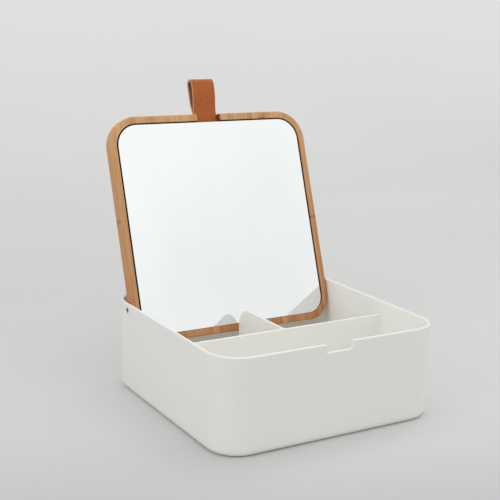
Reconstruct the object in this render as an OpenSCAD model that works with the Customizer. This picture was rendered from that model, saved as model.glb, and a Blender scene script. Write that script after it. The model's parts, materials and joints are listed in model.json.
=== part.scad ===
// Vanity box with a mirror in its lid: a square white tray with moulded dividers, and a bamboo
// lid that turns on two steel pins, carries a mirror underneath and is lifted by a leather loop.
// Frame: +Z up, X to the right along the front, Y to the rear, origin at the middle of the underside.
// The lid is drawn open, leaning on its stop.

/* [Tray] */
// Outside width of the tray
tray_w = 190; // [160:1:260]
// Outside depth of the tray, front to rear
tray_d = 190; // [160:1:260]
// Outside height of the tray
tray_h = 73.4; // [65:0.1:110]
// Thickness of the side walls
wall_t = 2.4; // [1.8:0.1:4]
// Thickness of the floor
floor_t = 2.6; // [1.8:0.1:5]
// Outside radius of the four upright corners
corner_r = 25; // [18:0.5:40]
// Radius that rounds the outside bottom edge
foot_r = 5; // [4.5:0.1:8]
// Radius that rounds the rim on both sides
rim_r = 0.8; // [0.3:0.1:0.8]
// How far each wall leans inwards from the rim down to the underside
draft = 0.8; // [0:0.1:0.8]

/* [Dividers] */
// Thickness of the dividers
divider_t = 1.9; // [1.2:0.1:4]
// Distance from the middle of the tray forward to the middle of the cross divider
cross_forward = 20; // [0:0.5:50]
// Radius of the rear divider's top corner, which leaves room for the lid
divider_nose_r = 16; // [6:0.5:20]
// Gap between the closed lid and the top of the dividers
lid_rest_gap = 0.2; // [0.1:0.05:1]
// Gap between the open lid's hinge edge and the rear divider that stops it
stop_gap = 0.1; // [0.05:0.05:0.5]

/* [Rim notch] */
// Width of the notch in the front rim
notch_w = 22; // [18:0.5:60]
// Depth of the notch
notch_depth = 6.2; // [4:0.1:12]
// Radius of the notch's bottom corners
notch_r = 1.5; // [0.5:0.1:3]

/* [Lid] */
// Thickness of the lid board
lid_t = 10; // [9:0.1:14]
// Gap between the lid's edges and the inside of the walls
lid_gap = 0.6; // [0.4:0.05:1.5]
// How far the closed lid's top lies below the rim
lid_inset = 0.6; // [0.2:0.1:4]
// How much smaller the radius of the hinge edge's corners is than the tray's inside corners
rear_corner_step = 1.1; // [0:0.1:1.2]
// How much larger the radius of the free edge's corners is than the tray's inside corners
front_corner_step = 2.4; // [0:0.1:6]
// Radius that rounds the lid's edges
lid_edge_r = 1.5; // [0.5:0.1:3]
// Angle from closed to open
open_angle = 109.2; // [95:0.1:115]

/* [Mirror] */
// Width of the wooden rim around the mirror pocket
mirror_rim = 5.9; // [5:0.1:15]
// Depth of the mirror pocket
pocket_depth = 4.7; // [4:0.1:5.5]
// Thickness of the mirror glass
mirror_t = 3; // [2:0.1:3.4]
// Gap between the glass and each side of its pocket
mirror_side_gap = 1.3; // [0.3:0.1:2]
// Gap between the glass and the pocket at the free edge
mirror_top_gap = 1; // [0.3:0.1:2]
// Gap between the glass and the pocket at the hinge edge
mirror_bottom_gap = 0.2; // [0.1:0.1:1]
// Width of the ground edge of the glass
mirror_arris = 0.4; // [0.2:0.1:0.8]
// Thickness of the foam tape behind the glass
tape_t = 1.2; // [0.6:0.1:1.2]
// Width of each strip of tape
tape_w = 20; // [10:1:25]
// Gap between the tape and the strap or the edge of the glass
tape_margin = 2; // [1:0.5:6]
// Number of strips of tape
tape_count = 4; // [2:1:4]

/* [Pull strap] */
// Width of the leather strap
strap_w = 21; // [12:0.5:21]
// Thickness of one layer of leather
leather_t = 1.7; // [1.2:0.1:1.8]
// Height of the loop beyond the lid's free edge
loop_h = 31; // [20:0.5:45]
// Clear width inside the loop near its top
loop_gap = 5.6; // [4.5:0.1:9]
// How far the loop bulges towards the mirror's side
loop_forward = 3.7; // [0:0.1:4]
// Length of the strap's ends inside the lid
strap_tail = 32; // [20:1:45]
// Width of the slot in the lid for the strap
strap_slot_w = 21.5; // [21:0.5:60]
// Depth of the recess in the pocket floor for the folded strap
strap_recess = 3.7; // [3.6:0.1:4.4]

/* [Hinge pins] */
// Diameter of the steel pins
pin_d = 4.5; // [3:0.1:5]
// Wood left between each pin's inner end and the mirror pocket
pin_cover = 0.9; // [0.5:0.1:2]
// Distance from the lid's hinge edge to the pins
pin_setback = 29; // [24:0.5:34]
// Radial clearance of the pins in the walls
pin_clearance = 0.05; // [0.03:0.01:0.1]
// How far the pin's end lies inside the wall's outer face
pin_sink = 0.2; // [0:0.1:0.6]
// Radius that rounds the pin's visible end
pin_end_r = 0.5; // [0.2:0.1:1]

/* [Hidden] */
$fn = 96;

// A cut reaches this far past the surface that it opens
over = 1;
// Points along each curve of the strap's loop
loop_steps = 24;
// The loop is at its widest from this share of its straight run
swell_share = 0.8;

inner_w = tray_w - 2 * wall_t;
inner_d = tray_d - 2 * wall_t;
inner_r = corner_r - wall_t;
// The wall keeps its thickness round the foot
floor_fillet_r = foot_r - wall_t;

// The lid's own frame has its origin at the pin axis: X across, Y to the hinge edge, Z out of its outer face
lid_w = inner_w - 2 * lid_gap;
lid_l = inner_d - 2 * lid_gap;
lid_rear_r = inner_r - rear_corner_step;
lid_front_r = inner_r + front_corner_step;
pivot_y = inner_d / 2 - lid_gap - pin_setback;
pivot_z = tray_h - lid_inset - lid_t / 2;
lid_under_z = pivot_z - lid_t / 2;
lid_mid_y = pin_setback - lid_l / 2;
free_edge_y = pin_setback - lid_l;
pocket_z = -lid_t / 2 + pocket_depth;
glass_back_z = pocket_z - tape_t;
glass_w = lid_w - 2 * (mirror_rim + mirror_side_gap);
glass_l = lid_l - 2 * mirror_rim - mirror_top_gap - mirror_bottom_gap;
pin_hold = mirror_rim - pin_cover;

divider_top = lid_under_z - lid_rest_gap;
cross_y = -cross_forward;
// The open lid's rounded hinge edge reaches furthest forward here
edge_back = pin_setback - lid_edge_r;
edge_drop = lid_t / 2 - lid_edge_r;
stop_y = pivot_y + edge_back * cos(open_angle) - edge_drop * sin(open_angle) - lid_edge_r - stop_gap;

white = [0.90, 0.90, 0.87];
bamboo = [0.80, 0.56, 0.33];
silver = [0.86, 0.88, 0.90];
foam = [0.25, 0.25, 0.26];
tan_leather = [0.66, 0.36, 0.19];
steel = [0.42, 0.42, 0.43];

// Outline of a plate centred on the origin, with one radius for the front corners and one for the rear
module plate_outline(w, l, front_r, rear_r) {
    translate([-w / 2, front_r - l / 2])
        square([w, l - front_r - rear_r]);
    translate([front_r - w / 2, -l / 2])
        square([w - 2 * front_r, l / 2]);
    translate([rear_r - w / 2, 0])
        square([w - 2 * rear_r, l / 2]);
    for (side = [-1, 1]) {
        translate([side * (w / 2 - front_r), front_r - l / 2])
            circle(r = front_r);
        translate([side * (w / 2 - rear_r), l / 2 - rear_r])
            circle(r = rear_r);
    }
}

// Half section of a plate of thickness t: a strip of length r whose far end is rounded by e
module plate_section(r, t, e) {
    square([r - e, t]);
    translate([0, e])
        square([r, t - 2 * e]);
    for (z = [e, t - e])
        translate([r - e, z])
            circle(r = e);
}

// A section carried along a straight edge: length along X, the section's far end towards -Y
module edge_run(length) {
    rotate([90, 0, 90])
        translate([0, 0, -length / 2])
            linear_extrude(length)
                mirror([1, 0])
                    children();
}

// A section turned through one corner: the quarter that lies between the given angle and 90 degrees more
module corner_turn(angle) {
    rotate([0, 0, angle])
        rotate_extrude(angle = 90)
            children();
}

// A plate whose edge is rounded all the way round, on both faces
module rounded_plate(w, l, t, front_r, rear_r, e) {
    run_l = l - front_r - rear_r;
    run_y = (front_r - rear_r) / 2;
    translate([0, front_r - l / 2, 0])
        edge_run(w - 2 * front_r)
            plate_section(front_r, t, e);
    translate([0, l / 2 - rear_r, 0])
        rotate([0, 0, 180])
            edge_run(w - 2 * rear_r)
                plate_section(rear_r, t, e);
    for (side = [-1, 1]) {
        translate([side * (w / 2 - front_r), run_y, 0])
            rotate([0, 0, side * 90])
                edge_run(run_l)
                    plate_section(front_r, t, e);
        translate([side * (w / 2 - front_r), front_r - l / 2, 0])
            corner_turn(side > 0 ? 270 : 180)
                plate_section(front_r, t, e);
        translate([side * (w / 2 - rear_r), l / 2 - rear_r, 0])
            corner_turn(side > 0 ? 0 : 90)
                plate_section(rear_r, t, e);
    }
    translate([front_r - w / 2, front_r - l / 2, 0])
        cube([w - 2 * front_r, run_l, t]);
}

// How far a wall has leaned in at height z: by the draft at the underside, not at all where the rim's curve starts
function lean(z) = draft * (1 - z / (tray_h - rim_r));

// Section through the tray from a corner's axis outwards: floor, rounded foot, leaning wall and rounded rim
module tray_section() {
    rim_z = tray_h - rim_r;
    foot_x = corner_r - lean(foot_r);
    fillet_z = floor_t + floor_fillet_r;
    fillet_x = inner_r - lean(fillet_z);
    difference() {
        union() {
            polygon([[0, 0], [foot_x - foot_r, 0], [foot_x - foot_r, foot_r], [foot_x, foot_r],
                     [corner_r, rim_z], [corner_r - rim_r, rim_z], [corner_r - rim_r, tray_h], [0, tray_h]]);
            translate([foot_x - foot_r, foot_r])
                circle(r = foot_r);
            translate([corner_r - rim_r, rim_z])
                circle(r = rim_r);
        }
        polygon([[-over, floor_t], [fillet_x - floor_fillet_r, floor_t],
                 [fillet_x - floor_fillet_r, fillet_z], [fillet_x, fillet_z], [inner_r, rim_z],
                 [inner_r, tray_h + over], [-over, tray_h + over]]);
        translate([fillet_x - floor_fillet_r, fillet_z])
            circle(r = floor_fillet_r);
        translate([inner_r, rim_z])
            difference() {
                translate([-over, 0])
                    square([rim_r + over, rim_r + over]);
                translate([rim_r, 0])
                    circle(r = rim_r);
            }
    }
}

module tray_body() {
    run_w = tray_w - 2 * corner_r;
    run_d = tray_d - 2 * corner_r;
    for (end = [0, 180])
        rotate([0, 0, end])
            translate([0, -run_d / 2, 0])
                edge_run(run_w)
                    tray_section();
    for (end = [90, 270])
        rotate([0, 0, end])
            translate([0, -run_w / 2, 0])
                edge_run(run_d)
                    tray_section();
    for (quarter = [0 : 3]) {
        side_x = quarter == 0 || quarter == 3 ? 1 : -1;
        side_y = quarter < 2 ? 1 : -1;
        translate([side_x * run_w / 2, side_y * run_d / 2, 0])
            corner_turn(quarter * 90)
                tray_section();
    }
    translate([-run_w / 2, -run_d / 2, 0])
        cube([run_w, run_d, floor_t]);
}

// Opening in the front rim that the strap drops into, open at the top
module rim_notch() {
    bottom = tray_h - notch_depth;
    translate([0, over - tray_d / 2 + wall_t, 0])
        rotate([90, 0, 0])
            linear_extrude(wall_t + 2 * over) {
                translate([-notch_w / 2, bottom + notch_r])
                    square([notch_w, notch_depth + over]);
                translate([notch_r - notch_w / 2, bottom])
                    square([notch_w - 2 * notch_r, notch_depth]);
                for (side = [-1, 1])
                    translate([side * (notch_w / 2 - notch_r), bottom + notch_r])
                        circle(r = notch_r);
            }
}

module tray_shell() {
    color(white)
        difference() {
            tray_body();
            rim_notch();
            for (side = [-1, 1])
                translate([side * (tray_w - wall_t) / 2, pivot_y, pivot_z])
                    rotate([0, 90, 0])
                        cylinder(r = pin_d / 2 + pin_clearance, h = wall_t + 2 * over, center = true);
        }
}

// Wall from side to side, whose ends lean and are rounded like the walls and the fillet that they meet
module cross_divider() {
    foot = floor_fillet_r;
    foot_z = floor_t + foot;
    foot_x = inner_w / 2 - lean(foot_z);
    top_x = inner_w / 2 - lean(divider_top);
    color(white)
        translate([0, cross_y + divider_t / 2, 0])
            rotate([90, 0, 0])
                linear_extrude(divider_t) {
                    polygon([[-foot_x, foot_z], [foot - foot_x, foot_z], [foot - foot_x, floor_t],
                             [foot_x - foot, floor_t], [foot_x - foot, foot_z], [foot_x, foot_z],
                             [top_x, divider_top], [-top_x, divider_top]]);
                    for (side = [-1, 1])
                        translate([side * (foot_x - foot), foot_z])
                            circle(r = foot);
                }
}

// Short wall from the cross divider to where it stops the open lid
module rear_divider() {
    start = cross_y + divider_t / 2;
    color(white)
        rotate([90, 0, 90])
            translate([0, 0, -divider_t / 2])
                linear_extrude(divider_t) {
                    translate([start, floor_t])
                        square([stop_y - divider_nose_r - start, divider_top - floor_t]);
                    translate([start, floor_t])
                        square([stop_y - start, divider_top - divider_nose_r - floor_t]);
                    translate([stop_y - divider_nose_r, divider_top - divider_nose_r])
                        circle(r = divider_nose_r);
                }
}

// Puts what is drawn in the lid's own frame where the open lid is
module open_lid() {
    translate([0, pivot_y, pivot_z])
        rotate([-open_angle, 0, 0])
            children();
}

// Path for the strap through the free edge and into the pocket floor, in the lid's own frame
module strap_channel() {
    translate([-strap_slot_w / 2, free_edge_y - over, -lid_t / 2 - over])
        cube([strap_slot_w, mirror_rim + 2 * over, pocket_depth + strap_recess + over]);
    translate([-strap_slot_w / 2, free_edge_y, pocket_z - over])
        cube([strap_slot_w, strap_tail + over, strap_recess + over]);
}

module lid_board() {
    color(bamboo)
        open_lid()
            difference() {
                translate([0, lid_mid_y, -lid_t / 2])
                    rounded_plate(lid_w, lid_l, lid_t, lid_front_r, lid_rear_r, lid_edge_r);
                translate([0, lid_mid_y, -lid_t / 2 - over])
                    linear_extrude(pocket_depth + over)
                        plate_outline(lid_w - 2 * mirror_rim, lid_l - 2 * mirror_rim,
                                      lid_front_r - mirror_rim, lid_rear_r - mirror_rim);
                strap_channel();
                for (side = [-1, 1])
                    translate([side * (lid_w / 2 + over), 0, 0])
                        rotate([0, -side * 90, 0])
                            cylinder(r = pin_d / 2, h = pin_hold + over);
            }
}

module mirror_glass() {
    glass_y = lid_mid_y + (mirror_top_gap - mirror_bottom_gap) / 2;
    inset = mirror_rim + mirror_side_gap;
    color(silver)
        open_lid()
            translate([0, glass_y, glass_back_z - mirror_t])
                rounded_plate(glass_w, glass_l, mirror_t, lid_front_r - inset, lid_rear_r - inset,
                              mirror_arris);
}

// Strips of foam tape between the pocket floor and the glass, kept clear of the strap's recess
module mirror_tape() {
    strip_l = glass_w - lid_front_r;
    first_y = free_edge_y + strap_tail + tape_margin + tape_w / 2;
    last_y = pin_setback - mirror_rim - mirror_bottom_gap - tape_margin - tape_w / 2;
    step = (last_y - first_y) / (tape_count - 1);
    color(foam)
        open_lid()
            for (i = [0 : tape_count - 1])
                translate([-strip_l / 2, first_y + i * step - tape_w / 2, glass_back_z])
                    cube([strip_l, tape_w, tape_t]);
}

// Spread of the loop's layers, from 0 at its root to 1 where it is widest
function swell(s) = let (u = min(s / swell_share, 1)) u * u * (3 - 2 * u);

module pull_strap() {
    root_y = free_edge_y - over;
    bend_r = loop_gap / 2 + leather_t;
    bend_y = free_edge_y - loop_h + bend_r;
    run = root_y - bend_y;
    bend_z = bend_r - loop_forward;
    rearward = loop_gap - loop_forward;
    // One run of the strap, from its root to the bend, whose surface starts at z and moves by reach
    function layer(z, reach) = [for (i = [0 : loop_steps]) let (s = i / loop_steps)
        [root_y - run * s, z + reach * swell(s)]];
    function half_turn(r) = [for (i = [1 : loop_steps - 1]) let (a = 180 * i / loop_steps)
        [bend_y - r * sin(a), bend_z + r * cos(a)]];
    function back(points) = [for (i = [len(points) - 1 : -1 : 0]) points[i]];
    tail_y = free_edge_y + strap_tail;
    color(tan_leather)
        open_lid()
            translate([-strap_w / 2, 0, pocket_z + strap_recess - 2 * leather_t])
                rotate([90, 0, 90])
                    linear_extrude(strap_w)
                        difference() {
                            polygon(concat([[tail_y, 0], [tail_y, 2 * leather_t]],
                                           layer(2 * leather_t, rearward), half_turn(bend_r),
                                           back(layer(0, -loop_forward))));
                            polygon(concat(layer(leather_t, rearward), half_turn(loop_gap / 2),
                                           back(layer(leather_t, -loop_forward))));
                        }
}

// Plain steel pins, pressed into the lid's edge and turning in the walls, with a rounded outer end
module hinge_pins() {
    pin_l = pin_hold + lid_gap + wall_t - pin_sink;
    color(steel)
        for (side = [-1, 1])
            translate([side * (tray_w / 2 - pin_sink - pin_l), pivot_y, pivot_z])
                rotate([0, side * 90, 0])
                    rotate_extrude() {
                        square([pin_d / 2, pin_l - pin_end_r]);
                        square([pin_d / 2 - pin_end_r, pin_l]);
                        translate([pin_d / 2 - pin_end_r, pin_l - pin_end_r])
                            circle(r = pin_end_r);
                    }
}

tray_shell();
cross_divider();
rear_divider();
lid_board();
mirror_glass();
mirror_tape();
pull_strap();
hinge_pins();
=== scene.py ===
"""Looks of the vanity box with mirror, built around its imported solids.

A white moulded tray with two dividers carries a bamboo lid on two steel pins. The lid holds a
mirror in its underside and is lifted by a folded leather strap.

Sizes are in millimetres here and become metres when a mesh is made. The lid's own frame has its
origin at the pin axis: X across, Y towards the hinge edge, Z out of the outer face. The lid stands
open at rest.
"""

from __future__ import annotations

import json
import logging
import math
from dataclasses import dataclass, field
from enum import Enum
from typing import Any

import bmesh
import bpy
import numpy as np
from mathutils import Matrix, Vector

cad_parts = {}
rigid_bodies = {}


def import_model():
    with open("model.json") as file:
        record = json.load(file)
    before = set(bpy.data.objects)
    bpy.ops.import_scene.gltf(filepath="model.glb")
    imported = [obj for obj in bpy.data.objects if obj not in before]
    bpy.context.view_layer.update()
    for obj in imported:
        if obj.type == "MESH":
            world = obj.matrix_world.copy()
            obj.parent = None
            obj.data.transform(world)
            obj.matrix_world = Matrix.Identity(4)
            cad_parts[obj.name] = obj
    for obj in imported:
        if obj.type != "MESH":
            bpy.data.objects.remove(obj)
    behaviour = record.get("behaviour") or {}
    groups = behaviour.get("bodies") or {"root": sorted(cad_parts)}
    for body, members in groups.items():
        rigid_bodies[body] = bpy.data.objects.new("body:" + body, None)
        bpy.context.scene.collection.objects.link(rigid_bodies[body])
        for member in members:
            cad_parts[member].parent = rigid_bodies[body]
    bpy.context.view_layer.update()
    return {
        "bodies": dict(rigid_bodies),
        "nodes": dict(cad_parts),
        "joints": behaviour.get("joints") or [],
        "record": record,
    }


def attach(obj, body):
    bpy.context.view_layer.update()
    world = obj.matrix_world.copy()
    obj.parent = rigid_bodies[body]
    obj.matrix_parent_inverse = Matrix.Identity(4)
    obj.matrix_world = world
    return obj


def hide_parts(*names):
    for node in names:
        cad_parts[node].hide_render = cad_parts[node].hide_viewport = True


LOG = logging.getLogger("vanity_box")
MM = 0.001
MERGE_M = 2e-6
TINY = 1e-9
PIN_Y = 63.0
PIN_Z = 67.8
PIN_POINTS = 9
PLAIN_STATIONS = np.array([-40.0, 0.0, 40.0])
NOISE_SPAN = (0.3, 0.7)
SOFTENED_FROM_DEG = 40.0
Socket = bpy.types.NodeSocket
Triple = tuple[float, float, float]
Colour = tuple[float, float, float, float]
NOWHERE: Triple = (0.0, 0.0, 0.0)


# Shapes


class Side(Enum):
    """Straight runs of a rounded outline, in the order in which it is walked."""

    FRONT = 0
    RIGHT = 1
    REAR = 2
    LEFT = 3


@dataclass(frozen=True)
class Outline:
    """Points round a rounded rectangle, with the direction that points out of it at each."""

    points: np.ndarray
    normals: np.ndarray
    starts: dict[Side, int]
    centre_y: float

    def inset(self, depth: float, height: float) -> np.ndarray:
        """One row of points: the outline moved inwards by depth, at the given height."""
        flat = self.points - self.normals * depth
        return np.column_stack([flat, np.full(len(flat), height)])

    def hub(self, reach: float, height: float, share: float) -> np.ndarray:
        """One row on a square about the middle.

        Each point of the outline goes to the nearest point of the square, so runs near the
        middle of a side stay square to it.

        Args:
            reach: Half width of the square.
            height: Z of the row.
            share: How far the row is from the middle, as a share of the square.

        Returns:
            The row.
        """
        middle = np.array([0.0, self.centre_y])
        flat = middle + np.clip(self.points - middle, -reach, reach) * share
        return np.column_stack([flat, np.full(len(flat), height)])

    def middle_rows(self, reach: float, height: float) -> list[np.ndarray]:
        """Rows from the middle point out to the middle square."""
        return [self.hub(reach, height, share) for share in (0.0, 0.5, 1.0)]

    def between(self, depth: float, reach: float, height: float, share: float) -> np.ndarray:
        """One row at a share of the way from the outline inset by depth to the middle square."""
        start = self.inset(depth, height)
        return start + (self.hub(reach, height, 1.0) - start) * share

    def pin_columns(self) -> dict[float, np.ndarray]:
        """Columns beside the pin in each side wall, by that wall's way along X.

        Returns:
            The columns' numbers in the outline, for each wall.
        """
        right = self.starts[Side.RIGHT] + 1 + len(PLAIN_STATIONS)
        left = self.starts[Side.LEFT] + 1
        return {1.0: right + np.arange(PIN_POINTS), -1.0: left + np.arange(PIN_POINTS)}


def quarter(steps: int) -> np.ndarray:
    """Angles of a quarter turn, both ends included."""
    return np.linspace(0, math.pi / 2, steps + 1)


def pairs(first: Any, second: Any) -> np.ndarray:
    """Points of two coordinates, either of which may be one number for all."""
    return np.column_stack(np.broadcast_arrays(first, second))


def wall_stations(front: np.ndarray, bore_half: float) -> dict[Side, np.ndarray]:
    """Places along the four sides where points are wanted, as seen from the outline's middle.

    Args:
        front: Places along the front.
        bore_half: Half width of the block of points beside each pin.

    Returns:
        The places by side, each along its side's direction of travel.
    """
    beside_pin = PIN_Y + np.linspace(-bore_half, bore_half, PIN_POINTS)
    right = np.concatenate([PLAIN_STATIONS, beside_pin])
    left = -right[::-1]
    return {Side.FRONT: front, Side.RIGHT: right, Side.REAR: PLAIN_STATIONS, Side.LEFT: left}


def rounded_outline(
    width: float,
    length: float,
    front_r: float,
    rear_r: float,
    centre_y: float = 0.0,
    stations: dict[Side, np.ndarray] | None = None,
    arc_steps: int = 20,
) -> Outline:
    """Walks round a rounded rectangle, counterclockwise from its front left.

    A straight run is its side's middle plus its direction times each station. A corner is its
    centre plus the radius times the normal, which turns from one side's normal to the next.

    Args:
        width: Size along X.
        length: Size along Y.
        front_r: Radius of the two front corners.
        rear_r: Radius of the two rear corners.
        centre_y: Y of the middle.
        stations: Places along each side's direction of travel where points are wanted.
        arc_steps: Steps round each corner.

    Returns:
        The outline.
    """
    wanted = stations or {}
    corner_radii = (front_r, rear_r, rear_r, front_r)
    points, normals, starts, count = [], [], {}, 0
    middle = np.array([0.0, centre_y])
    angle = quarter(arc_steps)[1:-1, None]
    for side in Side:
        turn = side.value * math.pi / 2
        along = np.round([math.cos(turn), math.sin(turn)], 12)
        out = np.round([math.sin(turn), -math.cos(turn)], 12)
        run, depth = (width, length) if side in (Side.FRONT, Side.REAR) else (length, width)
        first_r, last_r = corner_radii[side.value - 1], corner_radii[side.value]
        steps = np.concatenate([[first_r - run / 2], wanted.get(side, []), [run / 2 - last_r]])
        starts[side] = count
        turned = out * np.cos(angle) + along * np.sin(angle)
        corner = middle + along * (run / 2 - last_r) + out * (depth / 2 - last_r)
        straight = middle + np.outer(steps, along) + out * depth / 2
        points += [straight, corner + turned * last_r]
        normals += [np.tile(out, (len(steps), 1)), turned]
        count += len(steps) + len(turned)
    return Outline(np.vstack(points), np.vstack(normals), starts, centre_y)


class Surface:
    """Points and faces collected from grids, before they become one mesh."""

    def __init__(self) -> None:
        """Starts empty."""
        self.points: list[np.ndarray] = []
        self.quads: list[np.ndarray] = []
        self.finishes: list[np.ndarray] = []
        self.count = 0

    def add_points(self, points: np.ndarray) -> np.ndarray:
        """Keeps points.

        Args:
            points: Points, in a grid of any shape.

        Returns:
            Their numbers, in the same shape.
        """
        flat = points.reshape(-1, 3)
        numbers = np.arange(self.count, self.count + len(flat))
        self.points.append(flat)
        self.count += len(flat)
        return numbers.reshape(points.shape[:-1])

    def add_strip(self, first: np.ndarray, second: np.ndarray) -> None:
        """Joins two closed rings of equally many points with quads.

        Args:
            first: The numbers of one ring's points.
            second: The numbers of the other ring's points.
        """
        quads = np.stack([first, np.roll(first, -1), np.roll(second, -1), second], axis=-1)
        self.quads.append(quads)
        self.finishes.append(np.zeros(len(quads), int))

    def add_grid(
        self,
        grid: np.ndarray,
        finish: np.ndarray | int = 0,
        holes: list[tuple[slice, slice]] | None = None,
    ) -> np.ndarray:
        """Joins neighbouring rows and columns of a grid with quads, and the last column too.

        Args:
            grid: Points, as rows by columns by three.
            finish: Material number of each quad, or one for all.
            holes: Blocks of quads that are left out.

        Returns:
            The numbers of the points, as rows by columns.
        """
        numbers = self.add_points(grid)
        after = np.roll(numbers, -1, axis=1)
        quads = np.stack([numbers[:-1], after[:-1], after[1:], numbers[1:]], axis=-1)
        kept = np.ones(quads.shape[:2], bool)
        for block in holes or []:
            kept[block] = False
        tags = np.broadcast_to(np.asarray(finish), quads.shape[:2])
        self.quads.append(quads[kept])
        self.finishes.append(tags[kept])
        return numbers

    def all_points(self) -> np.ndarray:
        """Every point so far."""
        return np.vstack(self.points)

    def bore(self, ring: np.ndarray, centre: np.ndarray, radius: float) -> np.ndarray:
        """Fills the flat space between a ring of points and a round hole with two rows of quads.

        Each point of the ring is drawn towards the centre until it lies a radius away.

        Args:
            ring: Numbers of the points round the left out block, in order.
            centre: The hole's centre, in the block's plane.
            radius: The hole's radius.

        Returns:
            The numbers of the points round the hole.
        """
        outer = self.all_points()[ring]
        spokes = outer - centre
        reach = np.linalg.norm(spokes, axis=1, keepdims=True)
        round_points = centre + spokes * (radius / reach)
        last = ring
        for share in (0.5, 1.0):
            new = self.add_points(outer + (round_points - outer) * share)
            self.add_strip(last, new)
            last = new
        return last

    def make(self, name: str, sharp_deg: float = 32.0) -> bpy.types.Object:
        """Makes the mesh and its object, with doubles merged and faces pointing outwards.

        Args:
            name: The piece's name.
            sharp_deg: Edges that bend more than this are drawn sharp.

        Returns:
            The object, linked to the scene, at the origin.
        """
        mesh = bpy.data.meshes.new(name)
        quads = np.vstack(self.quads)
        mesh.from_pydata((self.all_points() * MM).tolist(), [], quads.tolist())
        mesh.polygons.foreach_set("material_index", np.concatenate(self.finishes))
        work = bmesh.new()
        work.from_mesh(mesh)
        bmesh.ops.remove_doubles(work, verts=work.verts, dist=MERGE_M)
        bmesh.ops.dissolve_degenerate(work, edges=work.edges, dist=MERGE_M)
        loose = [v for v in work.verts if not v.link_faces]
        bmesh.ops.delete(work, geom=loose, context="VERTS")
        bmesh.ops.recalc_face_normals(work, faces=work.faces)
        open_edges = sum(not e.is_manifold for e in work.edges)
        if work.calc_volume(signed=True) < 0:
            bmesh.ops.reverse_faces(work, faces=work.faces)
        work.to_mesh(mesh)
        work.free()
        mesh.shade_smooth()
        mesh.set_sharp_from_angle(angle=math.radians(sharp_deg))
        piece = bpy.data.objects.new(name, mesh)
        bpy.context.scene.collection.objects.link(piece)
        LOG.info("%s: %d faces, %d open edges", name, len(mesh.polygons), open_edges)
        return piece


def block_ring(numbers: np.ndarray, rows: np.ndarray, columns: np.ndarray) -> np.ndarray:
    """Walks round a block of a grid.

    Args:
        numbers: The grid's point numbers.
        rows: The block's rows.
        columns: Its columns.

    Returns:
        The numbers of the points round it, once round, without a repeat.
    """
    top, right = numbers[rows[0], columns[:-1]], numbers[rows[:-1], columns[-1]]
    bottom, left = numbers[rows[-1], columns[:0:-1]], numbers[rows[:0:-1], columns[0]]
    return np.concatenate([top, right, bottom, left])


def soften(piece: bpy.types.Object, edge_mm: float = 0.0) -> bpy.types.Object:
    """Finishes a piece: breaks its sharp edges and lets flat faces set the shading.

    Args:
        piece: The object.
        edge_mm: Width of the broken edge, or 0 for none.

    Returns:
        The same object.
    """
    if edge_mm:
        bevel = piece.modifiers.new("broken_edge", "BEVEL")
        bevel.width = edge_mm * MM
        bevel.segments = 2
        bevel.limit_method = "ANGLE"
        bevel.angle_limit = math.radians(SOFTENED_FROM_DEG)
    shading = piece.modifiers.new("flat_faces_lead", "WEIGHTED_NORMAL")
    shading.keep_sharp = True
    return piece


# Node building


def srgb(red: int, green: int, blue: int) -> Colour:
    """Linear colour, with full cover, of an 8-bit screen colour.

    Below a small share the screen's curve is straight, and above it a power of 2.4.

    Args:
        red: Red, from 0 to 255.
        green: Green.
        blue: Blue.

    Returns:
        The colour.
    """
    part = np.array([red, green, blue]) / 255
    linear = np.where(part <= 0.04045, part / 12.92, ((part + 0.055) / 1.055) ** 2.4)
    return (*(float(x) for x in linear), 1.0)


class NodeSheet:
    """A node tree with short ways to add and join nodes."""

    def __init__(self, tree: bpy.types.NodeTree) -> None:
        """Takes the tree to draw in."""
        self.tree = tree

    def join(self, source: Socket, node: bpy.types.Node, key: Any) -> None:
        """Joins a socket to an input of a node."""
        self.tree.links.new(source, node.inputs[key])

    def add(
        self, kind: str, inputs: dict[Any, Any] | None = None, **settings: Any
    ) -> bpy.types.Node:
        """Adds a node.

        Args:
            kind: The node's type.
            inputs: Input name or number to the value it takes or the socket it is joined to.
            **settings: The node's own settings.

        Returns:
            The node.
        """
        node = self.tree.nodes.new(kind)
        for key, value in settings.items():
            setattr(node, key, value)
        for key, value in (inputs or {}).items():
            if isinstance(value, Socket):
                self.join(value, node, key)
            else:
                node.inputs[key].default_value = value
        return node

    def math(self, operation: str, *values: Any, clamp: bool = False) -> Socket:
        """The result of a Math node."""
        inputs = dict(enumerate(values))
        return self.add("ShaderNodeMath", inputs, operation=operation, use_clamp=clamp).outputs[0]

    def vector(self, operation: str, inputs: dict[Any, Any]) -> Any:
        """The outputs of a Vector Math node."""
        return self.add("ShaderNodeVectorMath", inputs, operation=operation).outputs

    def total(self, *values: Any, clamp: bool = False) -> Socket:
        """The sum of several values, held between 0 and 1 at the end where clamp is set.

        Args:
            *values: Numbers and sockets, at least two.
            clamp: Whether the last sum is held between 0 and 1.

        Returns:
            The sum.
        """
        reached = values[0]
        for value in values[1:-1]:
            reached = self.math("ADD", reached, value)
        return self.math("ADD", reached, values[-1], clamp=clamp)

    def mix(self, share: Any, low: Any, high: Any) -> Socket:
        """A colour between two, by share."""
        inputs = {0: share, 6: low, 7: high}
        return self.add("ShaderNodeMix", inputs, data_type="RGBA").outputs[2]

    def spread(
        self, value: Any, low: float, high: float, start: float = 0.0, end: float = 1.0
    ) -> Socket:
        """A value stretched from one range to another and held inside it."""
        inputs = {0: value, 1: low, 2: high, 3: start, 4: end}
        return self.add("ShaderNodeMapRange", inputs).outputs[0]

    def noise(self, vector: Any, scale: Any, detail: float = 2.0, roughness: float = 0.5) -> Socket:
        """The value of a noise texture."""
        inputs = {"Vector": vector, "Scale": scale, "Detail": detail, "Roughness": roughness}
        return self.add("ShaderNodeTexNoise", inputs).outputs[0]


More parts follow.
